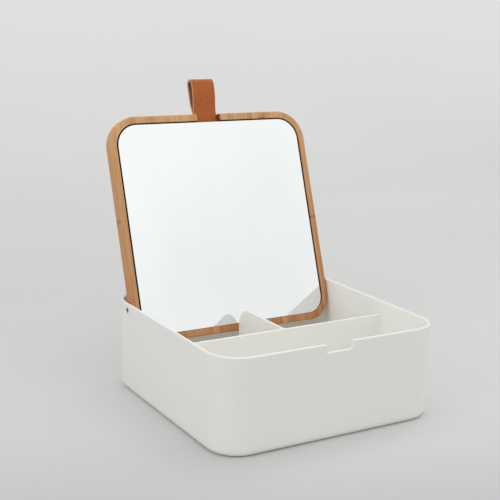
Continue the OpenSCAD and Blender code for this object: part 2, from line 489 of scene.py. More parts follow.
def new_group(
    name: str, inputs: dict[str, str], outputs: dict[str, str]
) -> tuple[NodeSheet, Any, bpy.types.Node]:
    """Starts a shader node group.

    Args:
        name: The group's name.
        inputs: Socket name to kind, such as Float, Vector or Color.
        outputs: The same for what it puts out.

    Returns:
        The group's sheet, what it is given, and its output node.
    """
    tree = bpy.data.node_groups.new(name, "ShaderNodeTree")
    for sockets, way in ((inputs, "INPUT"), (outputs, "OUTPUT")):
        for label, kind in sockets.items():
            tree.interface.new_socket(label, in_out=way, socket_type=f"NodeSocket{kind}")
    sheet = NodeSheet(tree)
    return sheet, sheet.add("NodeGroupInput").outputs, sheet.add("NodeGroupOutput")


class Effects:
    """Node groups that several finishes share, each built once."""

    DRIFT_SPAN = (0.32, 0.68)
    PIT_SPAN = (0.05, 0.45)
    BUNDLE_SPAN = (0.12, 0.42)
    BUNDLE_SCALE = 0.8

    def __init__(self) -> None:
        """Builds the groups."""
        self._drift = self._tone_drift()
        self._pits = self._fine_pits()
        self._fibres = self._long_fibres()

    def tones(
        self, sheet: NodeSheet, place: Socket, scale: float, amount: float, tone: Any, other: Any
    ) -> Socket:
        """A slow change between two tones: the tone_drift group, placed with its own values."""
        inputs = {"Vector": place, "Scale": scale, "Amount": amount, "Tone": tone, "Other": other}
        return sheet.add("ShaderNodeGroup", inputs, node_tree=self._drift).outputs[0]

    def skin(self, sheet: NodeSheet, place: Socket, scale: float, pitting: float) -> Any:
        """Outputs Height and Mask of the fine_pits group, placed with its own values."""
        inputs = {"Vector": place, "Scale": scale, "Pitting": pitting}
        return sheet.add("ShaderNodeGroup", inputs, node_tree=self._pits).outputs

    def fibres(
        self, sheet: NodeSheet, place: Socket, fineness: float, along: float, shift: Any
    ) -> Any:
        """Outputs Streaks and Bundles of the long_fibres group, placed with its own values."""
        inputs = {"Vector": place, "Fineness": fineness, "Along": along, "Shift": shift}
        return sheet.add("ShaderNodeGroup", inputs, node_tree=self._fibres).outputs

    @staticmethod
    def _tone_drift() -> bpy.types.NodeTree:
        """Slow change between two tones: noise, stretched and scaled, mixes them.

        Returns:
            The node group.
        """
        kinds = {"Vector": "Vector", "Scale": "Float", "Amount": "Float"}
        kinds |= {"Tone": "Color", "Other": "Color"}
        sheet, given, out = new_group("tone_drift", kinds, {"Color": "Color"})
        noise = sheet.noise(given["Vector"], given["Scale"], 3.0)
        stretched = sheet.spread(noise, *Effects.DRIFT_SPAN)
        share = sheet.math("MULTIPLY", stretched, given["Amount"])
        sheet.join(sheet.mix(share, given["Tone"], given["Other"]), out, "Color")
        return sheet.tree

    @staticmethod
    def _fine_pits() -> bpy.types.NodeTree:
        """Fine uneven skin: noise less the hollows of a cell pattern of the same scale.

        Returns:
            The node group.
        """
        kinds = {"Vector": "Vector", "Scale": "Float", "Pitting": "Float"}
        sheet, given, out = new_group("fine_pits", kinds, {"Height": "Float", "Mask": "Float"})
        grain = sheet.noise(given["Vector"], given["Scale"])
        inputs = {"Vector": given["Vector"], "Scale": given["Scale"]}
        cells = sheet.add("ShaderNodeTexVoronoi", inputs).outputs[0]
        hollows = sheet.spread(cells, *Effects.PIT_SPAN, 1.0, 0.0)
        depth = sheet.math("MULTIPLY", hollows, given["Pitting"])
        sheet.join(sheet.math("SUBTRACT", grain, depth), out, "Height")
        sheet.join(depth, out, "Mask")
        return sheet.tree

    @staticmethod
    def _long_fibres() -> bpy.types.NodeTree:
        """Fibres along Y: noise and cells read from points squeezed along Y.

        Returns:
            The node group.
        """
        kinds = {"Vector": "Vector", "Fineness": "Float", "Along": "Float", "Shift": "Float"}
        results = {"Streaks": "Float", "Bundles": "Float"}
        sheet, given, out = new_group("long_fibres", kinds, results)
        fine = given["Fineness"]
        sizes = sheet.add("ShaderNodeCombineXYZ", {0: fine, 1: given["Along"], 2: fine}).outputs[0]
        squeezed = sheet.vector("MULTIPLY", {0: given["Vector"], 1: sizes})[0]
        shift = sheet.add("ShaderNodeCombineXYZ", {1: given["Shift"]}).outputs[0]
        moved = sheet.vector("ADD", {0: squeezed, 1: shift})[0]
        inputs = {"Vector": moved, "Scale": Effects.BUNDLE_SCALE}
        cells = sheet.add("ShaderNodeTexVoronoi", inputs).outputs[0]
        sheet.join(sheet.noise(moved, 1.0, 3.0, 0.6), out, "Streaks")
        sheet.join(sheet.spread(cells, *Effects.BUNDLE_SPAN, 1.0, 0.0), out, "Bundles")
        return sheet.tree


class Coat:
    """A material under way: its node sheet, its shader and the place its patterns are read at."""

    def __init__(
        self, name: str, shader: dict[str, Any], offset: Triple = NOWHERE, turn: Triple = NOWHERE
    ) -> None:
        """Starts a material with a Principled shader joined to its output.

        The place is Object coordinates, turned and moved so that a pattern lines up with its
        piece.

        Args:
            name: The material's name.
            shader: Plain values for the shader's own sockets.
            offset: How far the coordinates are moved, in metres.
            turn: How far they are turned about each axis.
        """
        self.material = bpy.data.materials.new(name)
        self.material.use_nodes = True
        self.material.node_tree.nodes.clear()
        self.sheet = NodeSheet(self.material.node_tree)
        self.shader = self.sheet.add("ShaderNodeBsdfPrincipled", shader)
        self.sheet.add("ShaderNodeOutputMaterial", {"Surface": self.shader.outputs[0]})
        own = self.sheet.add("ShaderNodeTexCoord").outputs["Object"]
        inputs = {"Vector": own, "Location": offset, "Rotation": turn}
        self.place = self.sheet.add("ShaderNodeMapping", inputs).outputs[0]

    def finish(
        self, looks: dict[str, Socket], height: Socket | None = None, depth_mm: float = 0.0
    ) -> bpy.types.Material:
        """Joins what was worked out to the shader, the height through a Bump node.

        Args:
            looks: The shader's input to the socket that feeds it.
            height: Height of the relief, if it has one.
            depth_mm: How deep the relief is.

        Returns:
            The material.
        """
        for key, source in looks.items():
            self.sheet.join(source, self.shader, key)
        if height is not None:
            inputs = {"Height": height, "Distance": depth_mm * MM, "Strength": 1.0}
            bump = self.sheet.add("ShaderNodeBump", inputs).outputs[0]
            self.sheet.join(bump, self.shader, "Normal")
        return self.material


def looked_at(sheet: NodeSheet) -> Socket:
    """Tells where the camera sees a surface straight, in a mirror or through glass.

    Args:
        sheet: The node sheet to add the nodes to.

    Returns:
        One where it does, else zero.
    """
    rays = sheet.add("ShaderNodeLightPath").outputs
    straight = sheet.math("MAXIMUM", rays["Is Camera Ray"], rays["Is Glossy Ray"])
    return sheet.math("MAXIMUM", straight, rays["Is Transmission Ray"])


# Finishes


@dataclass(frozen=True)
class MouldedPlastic:
    """Satin white plastic with a fine mould texture and a slow change of tone."""

    name: str = "white_plastic"
    tone: Colour = srgb(243, 243, 238)
    other: Colour = srgb(240, 240, 235)
    gloss_low: float = 0.40
    gloss_high: float = 0.50
    drift_scale: float = 14.0
    drift_amount: float = 0.8
    gloss_scale: float = 45.0
    pit_scale: float = 2600.0
    pitting: float = 0.35
    relief_mm: float = 0.012

    def build(self, effects: Effects) -> bpy.types.Material:
        """Makes the material.

        Args:
            effects: The shared node groups.

        Returns:
            The material.
        """
        coat = Coat(self.name, {"IOR": 1.49, "Specular IOR Level": 0.45})
        sheet, place = coat.sheet, coat.place
        tone = effects.tones(
            sheet, place, self.drift_scale, self.drift_amount, self.tone, self.other
        )
        skin = effects.skin(sheet, place, self.pit_scale, self.pitting)
        change = sheet.noise(place, self.gloss_scale, 3.0)
        rough = sheet.spread(change, *NOISE_SPAN, self.gloss_low, self.gloss_high)
        return coat.finish({"Base Color": tone, "Roughness": rough}, skin["Height"], self.relief_mm)


@dataclass(frozen=True)
class StripBamboo:
    """Side-pressed bamboo: strips along Y with their own tones, fibres, glue lines and knots."""

    offset: Triple
    turn: Triple
    strip_mm: float = 6.1
    knot_every_mm: float = 165.0
    light: Colour = srgb(220, 172, 118)
    dark: Colour = srgb(174, 106, 56)
    fibre: Colour = srgb(118, 68, 34)
    seed: float = 3163.0
    own_share: float = 0.36
    lean_share: float = 0.15
    streak_share: float = 0.32
    # Painted shade: how much darker the wood is made towards the hinge
    hinge_shade_share: float = 0.50
    bundle_share: float = 0.32
    glue_share: float = 0.30
    knot_share: float = 0.50
    knot_shift: float = 0.35
    knot_span: tuple[float, float] = (0.003, 0.011)
    glue_span: tuple[float, float] = (0.475, 0.5)
    # Painted shade: the span of Y over which the wood darkens towards the hinge
    hinge_shade_span: tuple[float, float] = (-0.14, 0.03)
    streak_span: tuple[float, float] = (0.35, 0.65)
    fineness: float = 1500.0
    along: float = 26.0
    strip_shift: float = 37.0
    drift_scale: float = 22.0
    drift_amount: float = 0.16
    gloss_low: float = 0.42
    gloss_high: float = 0.58
    mark_depth: float = 1.2
    relief_mm: float = 0.035

    def tone(
        self, sheet: NodeSheet, axes: Any, inside: Socket, own: Socket, streaks: Socket
    ) -> Socket:
        """The strips' plain colour.

        Each strip has its own tone, deeper towards one side of it, with fine streaks, and painted
        shade darkens it towards the hinge.

        Args:
            sheet: The material's sheet.
            axes: The place's X, Y and Z.
            inside: Share of the way across the strip.
            own: The strip's own chance number.
            streaks: The fine streaks.

        Returns:
            The colour.
        """
        share = sheet.total(
            sheet.math("MULTIPLY", own, self.own_share),
            sheet.math("MULTIPLY", inside, self.lean_share),
            # Painted shade: darker towards the hinge edge
            sheet.spread(axes[1], *self.hinge_shade_span, 0.0, self.hinge_shade_share),
            sheet.spread(streaks, *self.streak_span, -self.streak_share, self.streak_share),
            clamp=True,
        )
        return sheet.mix(share, self.light, self.dark)

    def marks(
        self, sheet: NodeSheet, along: Socket, inside: Socket, phase: Socket, bundles: Socket
    ) -> Socket:
        """How much darker the wood is in bundles of fibre, in glue lines and at knots.

        A glue line is where the way across comes to either side. A knot is a narrow band where
        Y passes a multiple of the knot spacing, moved by the strip's own chance number.

        Args:
            sheet: The material's sheet.
            along: Y.
            inside: Share of the way across the strip.
            phase: The strip's own chance number.
            bundles: The bundles of fibre.

        Returns:
            A share from 0 to 1.
        """
        off_middle = sheet.math("ABSOLUTE", sheet.math("SUBTRACT", inside, 0.5))
        glue = sheet.math("MULTIPLY", sheet.spread(off_middle, *self.glue_span), self.glue_share)
        spacings = sheet.math("DIVIDE", along, self.knot_every_mm * MM)
        way = sheet.math("FRACT", sheet.total(phase, self.knot_shift, spacings))
        near = sheet.math("ABSOLUTE", sheet.math("SUBTRACT", way, 0.5))
        knot = sheet.spread(near, *self.knot_span, self.knot_share, 0.0)
        fibre = sheet.math("MULTIPLY", bundles, self.bundle_share)
        return sheet.math("MAXIMUM", sheet.math("MAXIMUM", fibre, glue), knot, clamp=True)

    def build(self, effects: Effects) -> bpy.types.Material:
        """Makes the material.

        Strip number is the whole part of X over the strip's width, and white noise on it gives
        each strip its tone and the place of its knots.

        Args:
            effects: The shared node groups.

        Returns:
            The material.
        """
        shader = {"IOR": 1.5, "Specular IOR Level": 0.4, "Coat Roughness": 0.3}
        coat = Coat("strip_bamboo", shader, self.offset, self.turn)
        sheet, place = coat.sheet, coat.place
        axes = sheet.add("ShaderNodeSeparateXYZ", {0: place}).outputs
        count = sheet.math("DIVIDE", axes[0], self.strip_mm * MM)
        number = sheet.math("ADD", sheet.math("FLOOR", count), self.seed)
        inside = sheet.math("FRACT", count)
        chance = sheet.add("ShaderNodeTexWhiteNoise", {"W": number}, noise_dimensions="1D")
        lots = sheet.add("ShaderNodeSeparateColor", {0: chance.outputs["Color"]}).outputs
        shift = sheet.math("MULTIPLY", lots[2], self.strip_shift)
        fibres = effects.fibres(sheet, place, self.fineness, self.along, shift)
        streaks = fibres["Streaks"]
        plain = self.tone(sheet, axes, inside, lots[0], streaks)
        darker = self.marks(sheet, axes[1], inside, lots[1], fibres["Bundles"])
        wood = sheet.mix(darker, plain, self.fibre)
        colour = effects.tones(
            sheet, place, self.drift_scale, self.drift_amount, wood, self.light
        )
        rough = sheet.spread(streaks, *NOISE_SPAN, self.gloss_low, self.gloss_high)
        sunk = sheet.math("MULTIPLY", darker, self.mark_depth)
        relief = sheet.math("SUBTRACT", streaks, sunk)
        return coat.finish({"Base Color": colour, "Roughness": rough}, relief, self.relief_mm)


@dataclass(frozen=True)
class PlainFinish:
    """A finish of two close tones with a pitted skin, such as foam, paint or steel."""

    name: str
    tone: Colour
    other: Colour
    roughness: float
    pit_scale: float
    pit_mm: float
    metallic: float = 0.0
    pitting: float = 0.8
    change: float = 0.06
    pits_per_drift: float = 6.0

    def build(self, effects: Effects) -> bpy.types.Material:
        """Makes the material.

        Args:
            effects: The shared node groups.

        Returns:
            The material.
        """
        coat = Coat(self.name, {"Metallic": self.metallic})
        sheet, place = coat.sheet, coat.place
        drift_scale = self.pit_scale / self.pits_per_drift
        tone = effects.tones(sheet, place, drift_scale, 1.0, self.tone, self.other)
        height = effects.skin(sheet, place, self.pit_scale, self.pitting)["Height"]
        low, high = self.roughness - self.change, self.roughness + self.change
        rough = sheet.spread(height, 0.0, 1.0, low, high)
        return coat.finish({"Base Color": tone, "Roughness": rough}, height, self.pit_mm)


@dataclass(frozen=True)
class SilveredGlass:
    """Mirror glass: its silvered face, its ground edge and the grey paint behind."""

    silver: Colour = (0.875, 0.89, 0.885, 1.0)
    edge_tone: Colour = srgb(58, 66, 62)
    edge_other: Colour = srgb(36, 42, 40)
    edge_drift: tuple[float, float] = (90.0, 0.7)
    edge_pits: tuple[float, float] = (3000.0, 0.5)
    edge_relief_mm: float = 0.02
    haze_scale: float = 30.0
    haze_low: float = 0.012
    haze_high: float = 0.022
    paint: PlainFinish = PlainFinish(
        "backing_paint", srgb(98, 100, 103), srgb(84, 86, 90), 0.6, 700.0, 0.01
    )

    def face(self) -> bpy.types.Material:
        """Bright silver seen through glass, with a faint haze that changes over it.

        Returns:
            The material.
        """
        coat = Coat("mirror_silver", {"Metallic": 1.0, "Base Color": self.silver, "IOR": 1.52})
        change = coat.sheet.noise(coat.place, self.haze_scale, 3.0)
        haze = coat.sheet.spread(change, *NOISE_SPAN, self.haze_low, self.haze_high)
        return coat.finish({"Roughness": haze})

    def edge(self, effects: Effects) -> bpy.types.Material:
        """Ground edge of the glass, dark with a cast of green.

        Args:
            effects: The shared node groups.

        Returns:
            The material.
        """
        coat = Coat("ground_glass_edge", {"IOR": 1.52, "Roughness": 0.35})
        tones = (self.edge_tone, self.edge_other)
        tone = effects.tones(coat.sheet, coat.place, *self.edge_drift, *tones)
        skin = effects.skin(coat.sheet, coat.place, *self.edge_pits)
        return coat.finish({"Base Color": tone}, skin["Height"], self.edge_relief_mm)

    def build(self, effects: Effects) -> list[bpy.types.Material]:
        """Makes the three materials, in the order of the glass's material numbers."""
        return [self.face(), self.edge(effects), self.paint.build(effects)]


@dataclass(frozen=True)
class Leather:
    """One surface of the strap: its grain side, its flesh side or its cut edge."""

    name: str
    tone: Colour
    other: Colour
    roughness: float
    pore_scale: float
    relief_mm: float
    fibre_share: float
    pore_share: float = 0.32
    pitting: float = 0.9
    crease_scale: float = 420.0
    drift_amount: float = 0.8
    fineness: float = 2600.0
    along: float = 900.0
    dark_share: float = 0.45
    rougher: float = 0.1
    smoother: float = 0.05

    def build(self, effects: Effects, offset: Triple, turn: Triple) -> bpy.types.Material:
        """Makes the material: pores and creases over two tones, with fibres where it is cut.

        Args:
            effects: The shared node groups.
            offset: How far the pattern's coordinates are moved.
            turn: How far they are turned.

        Returns:
            The material.
        """
        coat = Coat(self.name, {"IOR": 1.45, "Specular IOR Level": 0.35}, offset, turn)
        sheet, place = coat.sheet, coat.place
        tone = effects.tones(
            sheet, place, self.crease_scale, self.drift_amount, self.tone, self.other
        )
        pores = effects.skin(sheet, place, self.pore_scale, self.pitting)
        bundles = effects.fibres(sheet, place, self.fineness, self.along, 0.0)["Bundles"]
        pore = sheet.math("MULTIPLY", pores["Mask"], self.pore_share)
        cut = sheet.math("MULTIPLY", bundles, self.fibre_share)
        shadow = (*(self.dark_share * x for x in self.other[:3]), 1.0)
        hide = sheet.mix(sheet.math("ADD", pore, cut, clamp=True), tone, shadow)
        height = pores["Height"]
        low, high = self.roughness + self.rougher, self.roughness - self.smoother
        rough = sheet.spread(height, 0.0, 1.0, low, high)
        relief = sheet.math("ADD", height, sheet.noise(place, self.crease_scale, 4.0, 0.6))
        return coat.finish({"Base Color": hide, "Roughness": rough}, relief, self.relief_mm)


# Pieces


@dataclass(frozen=True)
class LidFrame:
    """Where the open lid stands: a turn about X at the pins."""

    open_deg: float = 109.2

    def to_box(self, points: np.ndarray) -> np.ndarray:
        """Carries points from the lid's own frame into the box's.

        The turn carries Y to (cos a, -sin a) and Z to (sin a, cos a) in the YZ plane.

        Args:
            points: Points in an array of any shape, with the coordinates last.

        Returns:
            The same points in the box's frame.
        """
        angle = math.radians(self.open_deg)
        cos_a, sin_a = math.cos(angle), math.sin(angle)
        x, y, z = points[..., 0], points[..., 1], points[..., 2]
        turned_y, turned_z = PIN_Y + y * cos_a + z * sin_a, PIN_Z - y * sin_a + z * cos_a
        return np.stack([x, turned_y, turned_z], axis=-1)

    def pattern_place(self) -> tuple[Triple, Triple]:
        """Works out the Mapping node that undoes the lid's turn.

        Returns:
            Its location, in metres, and its rotation.
        """
        angle = math.radians(self.open_deg)
        cos_a, sin_a = math.cos(angle), math.sin(angle)
        y, z = PIN_Y * MM, PIN_Z * MM
        return (0.0, -(y * cos_a - z * sin_a), -(y * sin_a + z * cos_a)), (angle, 0.0, 0.0)


@dataclass
class Tray:
    """White tray: floor, walls, rounded rim, the strap's notch and the pins' bores."""

    side: float = 190.0
    height: float = 73.4
    wall: float = 2.4
    floor: float = 2.6
    corner_r: float = 25.0
    foot_r: float = 5.0
    foot_steps: int = 8
    fillet_r: float = 2.6
    fillet_steps: int = 6
    draft: float = 0.8
    lean_top: float = 72.6
    rim_r: float = 1.1
    rim_steps: int = 6
    half_z: float = 30.0
    base_z: float = 60.0
    beside: float = 0.4
    fan_depth: float = 12.0
    hub_reach: float = 50.0
    notch_w: float = 22.0
    notch_depth: float = 6.2
    notch_top_r: float = 1.2
    notch_r: float = 1.5
    notch_base: float = 17.0
    notch_steps: int = 6
    bore_r: float = 2.3
    bore_half: float = 6.0
    front_stations: tuple[float, ...] = (25.0, 45.0)
    upper_z: tuple[float, ...] = (60.0, 62.2, 63.6, 65.0, 66.4, 67.8, 69.2, 70.6, 72.0, 72.3)

    def lean(self, z: float) -> float:
        """How far the walls have leaned in at a height: in proportion to the way to the rim."""
        return self.draft * (1 - min(max(z, self.foot_r), self.lean_top) / self.lean_top)

    def notch_path(self) -> tuple[np.ndarray, np.ndarray]:
        """Path of the rim down into the notch and up again.

        It is a run of straight lines and quarter arcs in the front wall's plane, as X and Z.
        The top arcs turn over the notch's shoulders and the bottom arcs into its corners.

        Returns:
            The path and its outward directions.
        """
        half, top, turn = self.notch_w / 2, self.height, quarter(self.notch_steps)
        bottom, high_r, low_r = top - self.notch_depth, self.notch_top_r, self.notch_r
        sine, cosine = np.sin(turn), np.cos(turn)
        shoulder = pairs(-half - high_r + high_r * sine, top - high_r + high_r * cosine)
        corner = pairs(-half + low_r - low_r * cosine, bottom + low_r - low_r * sine)
        flat = pairs(np.linspace(-half + low_r, 0, self.notch_steps)[1:], bottom)
        left = np.vstack([shoulder, corner, flat])
        upright = np.tile([0.0, 1.0], (len(flat), 1))
        left_out = np.vstack([pairs(sine, cosine), pairs(cosine, sine), upright])
        mirror = np.array([-1.0, 1.0])
        path = np.vstack([left, (left * mirror)[-2::-1]])
        return path, np.vstack([left_out, (left_out * mirror)[-2::-1]])

    def outline(self) -> tuple[Outline, np.ndarray, np.ndarray]:
        """Outline of the walls, and where the rim's crest and its upward direction lie.

        Returns:
            The outline, the crest as points and the crest's directions.
        """
        path, out = self.notch_path()
        steps = np.linalg.norm(np.diff(path, axis=0), axis=1)
        run = np.concatenate([[0.0], np.cumsum(steps)])
        base = self.notch_base * (2 * run / run[-1] - 1)
        beside = np.array(self.front_stations)
        stations = wall_stations(np.concatenate([-beside[::-1], base, beside]), self.bore_half)
        outline = rounded_outline(
            self.side, self.side, self.corner_r, self.corner_r, stations=stations
        )
        crest = outline.inset(0.0, self.height)
        lift = np.tile([0.0, 0.0, 1.0], (len(crest), 1))
        first = outline.starts[Side.FRONT] + 1 + len(beside)
        span = slice(first, first + len(path))
        crest[span, 0], crest[span, 2] = path[:, 0], path[:, 1]
        lift[span, 0], lift[span, 2] = out[:, 0], out[:, 1]
        return outline, crest, lift

    def rows(self) -> tuple[Outline, np.ndarray, np.ndarray, np.ndarray]:
        """Every row of the tray's skin, from the middle of its underside over the rim to its floor.

        Above base_z a wall row lies between the level line there and the crest, so it fans out
        round the notch. The rim rolls over by a quarter arc on each side.

        Returns:
            The outline, the grid, and the numbers of the outer and inner rows beside the bores.
        """
        outline, crest, lift = self.outline()
        inward = -np.column_stack([outline.normals, np.zeros(len(crest))])

        def level(depth: float, z: float) -> np.ndarray:
            """A row of equal height, a depth inside the leaning wall."""
            return outline.inset(depth + self.lean(z), z)

        def upper(depth: float, share: float, drop: float) -> np.ndarray:
            """A row between the level line and the crest."""
            low = level(depth, self.base_z)
            return low + (crest + inward * depth - lift * drop - low) * share

        wall, foot, fillet, near = self.wall, self.foot_r, self.fillet_r, self.beside
        r, arc, fan = self.rim_r, quarter(self.rim_steps), self.fan_depth
        sides = (np.array(self.upper_z) - self.base_z) / (self.height - r - self.base_z)
        rows = outline.middle_rows(self.hub_reach, 0.0)
        rows += [level(fan, 0.0), level(foot + near, 0.0)]
        rows += [
            level(foot * (1 - math.sin(a)), foot * (1 - math.cos(a)))
            for a in quarter(self.foot_steps)
        ]
        rows += [level(0.0, foot + near), level(0.0, self.half_z)]
        outer_first = len(rows)
        rows += [upper(0.0, share, r) for share in sides]
        rows += [upper(r * (1 - math.cos(a)), 1.0, r * (1 - math.sin(a))) for a in arc[1:]]
        rows += [upper(wall - r + r * math.sin(a), 1.0, r * (1 - math.cos(a))) for a in arc]
        inner_first = len(rows) - 1
        rows += [upper(wall, share, r) for share in sides[-2::-1]]
        rows += [level(wall, self.half_z), level(wall, self.floor + fillet + near)]
        rows += [
            level(wall + fillet * (1 - math.cos(a)), self.floor + fillet * (1 - math.sin(a)))
            for a in quarter(self.fillet_steps)
        ]
        rows += [level(wall + fillet + near, self.floor), level(fan, self.floor)]
        rows += outline.middle_rows(self.hub_reach, self.floor)[::-1]
        beside_bore = np.arange(1, len(sides) - 1)
        inner = inner_first + len(sides) - 1 - beside_bore
        return outline, np.stack(rows), outer_first + beside_bore, inner

    def build(self) -> bpy.types.Object:
        """Makes the tray's mesh, with a bore for a pin through each side wall.

        Returns:
            The tray, whose inside, from the rim's inner roll on, has the second material: a whiter
            copy of the same plastic, which is painted light.
        """
        outline, grid, outer, inner = self.rows()
        pins = outline.pin_columns()
        skin, holes = Surface(), []
        for columns in pins.values():
            across = slice(columns[0], columns[-1])
            holes.append((slice(outer[0], outer[-1]), across))
            holes.append((slice(inner[-1], inner[0]), across))
        finish = np.zeros((len(grid) - 1, len(outline.points)), int)
        # Painted light: from the rim's inner roll on, the inside takes the whiter copy of the
        # plastic
        finish[inner[-1] - self.rim_steps :] = 1
        numbers = skin.add_grid(grid, finish, holes)
        for way, columns in pins.items():
            mouths = []
            for rows, depth in ((outer, 0.0), (inner, self.wall)):
                x = self.side / 2 - depth - self.lean(PIN_Z)
                ring = block_ring(numbers, rows, columns)
                mouths.append(skin.bore(ring, np.array([way * x, PIN_Y, PIN_Z]), self.bore_r))
            skin.add_strip(*mouths)
        return soften(skin.make("tray_shell_skin"))


@dataclass
class Dividers:
    """Two thin walls moulded into the tray, with rounded top edges and flared feet."""

    tray: Tray
    thickness: float = 1.9
    top: float = 62.6
    cross_y: float = -20.0
    edge_r: float = 0.6
    edge_steps: int = 5
    flare_r: float = 0.9
    flare_steps: int = 5
    sink: float = 0.3
    stop_y: float = 49.05
    nose_r: float = 16.0
    nose_steps: int = 14
    cross_x: tuple[float, ...] = (-60.0, -30.0, 0.0, 30.0, 60.0)
    cross_z: tuple[float, ...] = (20.0, 40.0, 61.0)
    rear_y: tuple[float, ...] = (-8.0, 5.0, 20.0)
    end_z: tuple[float, ...] = (34.0, 20.0, 9.0, 4.0)

    def flare(self, distance: np.ndarray) -> np.ndarray:
        """How much a wall thickens near what it grows from.

        It is a quarter arc hollow: the radius less the root of its square less the square of
        what is left of the radius. It is full at the root and nothing a radius away.
        """
        left = np.clip(self.flare_r - distance, 0.0, self.flare_r)
        return self.flare_r - np.sqrt(self.flare_r**2 - left**2)

    def roll(self, depth: np.ndarray) -> np.ndarray:
        """Half thickness at a depth below the free edge, which is rounded on both sides."""
        left = np.clip(self.edge_r - depth, 0.0, self.edge_r)
        return self.thickness / 2 - self.edge_r + np.sqrt(self.edge_r**2 - left**2)

    def near_root(self) -> np.ndarray:
        """Distances from a root at which the flare needs points."""
        hollow = self.flare_r * (1 - np.cos(quarter(self.flare_steps)))[:-1]
        return np.concatenate([[-self.sink], hollow, [self.flare_r]])

    def edge_depths(self) -> np.ndarray:
        """Depths below a free edge at which its rounding needs points."""
        return self.edge_r * (1 - np.sin(quarter(self.edge_steps)))

    def cross(self) -> bpy.types.Object:
        """Wall from side to side.

        Its half thickness is a function of X and height: the rolled edge plus the flare at the
        side walls plus the flare at the floor.

        Returns:
            The wall.
        """
        inner_half, floor = self.tray.side / 2 - self.tray.wall, self.tray.floor
        root = self.near_root()
        half_x = inner_half - root
        x = np.concatenate([-half_x, self.cross_x, half_x[::-1]])
        z = np.concatenate([floor + root, self.cross_z, self.top - self.edge_depths()])
        wide, high = np.meshgrid(x, z, indexing="ij")
        reach = inner_half - np.array([self.tray.lean(v) for v in z])
        wide = wide * (reach / inner_half)
        half = self.roll(self.top - high) + self.flare(reach - np.abs(wide))
        half += self.flare(high - floor)
        half[[0, -1]] = 0.0
        front = np.stack([wide, self.cross_y - half, high], axis=-1)
        rear = np.stack([wide, self.cross_y + half, high], axis=-1)[:, ::-1]
        skin = Surface()
        skin.add_grid(np.concatenate([front, rear], axis=1))
        return soften(skin.make("cross_divider_wall"))

    def free_edge(self, flat_y: np.ndarray, low: float) -> tuple[np.ndarray, np.ndarray]:
        """The rear wall's free edge: its top, the nose's arc and its upright end.

        Args:
            flat_y: Places along the top.
            low: Height at which the upright end stops.

        Returns:
            The edge, as Y and Z, and its outward directions.
        """
        turn = quarter(self.nose_steps)
        nose_y, nose_z = self.stop_y - self.nose_r, self.top - self.nose_r
        nose = pairs(nose_y + self.nose_r * np.sin(turn), nose_z + self.nose_r * np.cos(turn))
        end = pairs(self.stop_y, np.array([*self.end_z, low]))
        up = np.tile([0.0, 1.0], (len(flat_y), 1))
        back = np.tile([1.0, 0.0], (len(end), 1))
        out = np.vstack([up, pairs(np.sin(turn), np.cos(turn)), back])
        return np.vstack([pairs(flat_y, self.top), nose, end]), out

    def rear(self) -> bpy.types.Object:
        """Wall from the cross divider to the lid's stop, with a rounded nose.

        Its columns run from the floor to points of the free edge. Its half thickness is the
        rolled edge by the depth below the free edge, plus the flares at the cross divider and
        at the floor.

        Returns:
            The wall.
        """
        start, low = self.cross_y + self.thickness / 2, self.tray.floor - self.sink
        flat_y = np.concatenate([start + self.near_root(), self.rear_y])
        edge, out = self.free_edge(flat_y, low)
        inner = edge - out * self.edge_r
        past_flat = len(edge) - len(flat_y)
        nose = np.linspace(self.stop_y - self.nose_r, self.stop_y - self.edge_r, past_flat)
        foot = pairs(np.concatenate([flat_y, nose]), low)
        reach = np.maximum(np.linalg.norm(inner - foot, axis=1), TINY)
        root = self.near_root() + self.sink
        order = np.arange(len(root)) / len(root)
        near = np.minimum(root[:, None] / reach, 0.5 * order[:, None])
        far = near[-1] + (1 - near[-1]) * np.linspace(0.25, 1.0, 4)[:, None]
        side = foot + (inner - foot) * np.vstack([near, far])[..., None]
        depths = self.edge_depths()[1:]
        place = np.vstack([side, edge - out * depths[:, None, None]])
        depth = np.concatenate([np.full(len(side), self.edge_r), depths])[:, None]
        half = self.roll(depth) + self.flare(place[..., 0] - start)
        half += self.flare(place[..., 1] - self.tray.floor)
        half[:, [0, -1]] = 0.0
        left = np.stack([-half, place[..., 0], place[..., 1]], axis=-1)
        right = np.stack([half, place[..., 0], place[..., 1]], axis=-1)[::-1]
        skin = Surface()
        skin.add_grid(np.concatenate([left, right]).transpose(1, 0, 2))
        return soften(skin.make("rear_divider_wall"))


